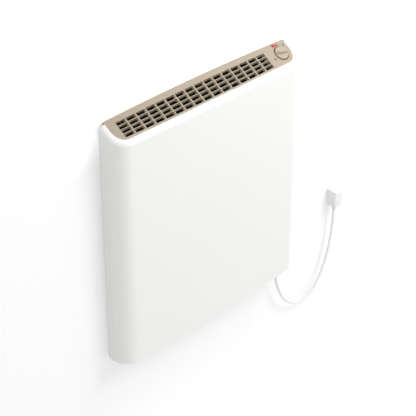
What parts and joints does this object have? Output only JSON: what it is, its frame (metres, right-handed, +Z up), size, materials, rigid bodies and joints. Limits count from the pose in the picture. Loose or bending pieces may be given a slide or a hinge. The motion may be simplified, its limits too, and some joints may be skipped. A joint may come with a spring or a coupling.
{
  "type": "wall panel heater",
  "caption": "Slim wall-hung electric panel heater: bowed front shell, sloping top grille with knob and rocker, heating element inside, wall brackets, short cord and plug.",
  "frame": {"origin": "on the wall plane, in the middle of the four screw holes of the two wall brackets", "axes": "+X to the right along the wall, +Y into the wall, +Z up"},
  "size_m": [0.662, 0.076, 0.6718],
  "materials": {
    "shell_white": "white powder coat, fine satin",
    "grille_beige": "moulded, matt beige",
    "knob_beige": "moulded, satin beige",
    "shaft_plastic": "moulded, grey",
    "rocker_red": "clear red, polished",
    "switch_beige": "moulded, satin beige",
    "sensor_dark": "dark light pipe, polished",
    "board_green": "lacquered circuit board",
    "pan_white": "white powder coat, thin",
    "bracket_zinc": "zinc plated",
    "rail_zinc": "galvanised sheet",
    "screw_zinc": "zinc plated",
    "pad_rubber": "black rubber",
    "reflector_aluminium": "bright rolled sheet",
    "shield_steel": "aluminised sheet",
    "mica_board": "pressed mica",
    "ribbon_nichrome": "heat-tinted ribbon",
    "ceramic_white": "unglazed steatite",
    "thermostat_dark": "moulded phenolic",
    "terminal_brass": "tinned brass",
    "block_cream": "moulded, cream",
    "sleeve_white": "braided glass sleeve",
    "cord_white": "soft vinyl, satin",
    "blade_nickel": "nickel plated"
  },
  "bodies": {
    "root": {"front_shell": "shell_white", "top_grille": "grille_beige", "thermostat_body": "thermostat_dark", "thermostat_terminals": "terminal_brass", "switch_housing": "switch_beige", "switch_terminals": "terminal_brass", "sensor_window": "sensor_dark", "sensor_board": "board_green", "back_pan": "pan_white", "wall_bracket_upper": "bracket_zinc", "wall_bracket_lower": "bracket_zinc", "wall_pads": "pad_rubber", "grille_screws": "screw_zinc", "shell_screws": "screw_zinc", "side_rail_left": "rail_zinc", "side_rail_right": "rail_zinc", "heat_reflector": "reflector_aluminium", "mica_panel": "mica_board", "element_frame_left": "rail_zinc", "element_frame_right": "rail_zinc", "heating_ribbon": "ribbon_nichrome", "ceramic_bushes": "ceramic_white", "bush_screws": "screw_zinc", "front_heat_shield": "shield_steel", "inlet_grille": "rail_zinc", "thermal_cutout": "thermostat_dark", "terminal_block": "block_cream", "terminal_screws": "terminal_brass", "element_leads": "sleeve_white", "cutout_lead": "sleeve_white", "wire_grommet": "pad_rubber", "wire_loom": "sleeve_white", "cord_tail": "cord_white", "cord_gland": "cord_white", "power_cord": "cord_white", "plug_body": "cord_white", "plug_blades": "blade_nickel", "ground_pin": "blade_nickel"},
    "knob": {"thermostat_knob": "knob_beige", "thermostat_shaft": "shaft_plastic"},
    "rocker": {"power_rocker": "rocker_red"}
  },
  "joints": [
    {"name": "thermostat_turn", "type": "hinge", "parent": "root", "child": "knob", "pos_m": [0.205, -0.02476, 0.23463], "axis": [0, -0.5373, 0.8434], "range_deg": [-135, 135]},
    {"name": "power_rocker_tilt", "type": "hinge", "parent": "root", "child": "rocker", "pos_m": [0.2025, -0.0083, 0.24201], "axis": [0, 1, 0], "range_deg": [-14, 0]}
  ]
}
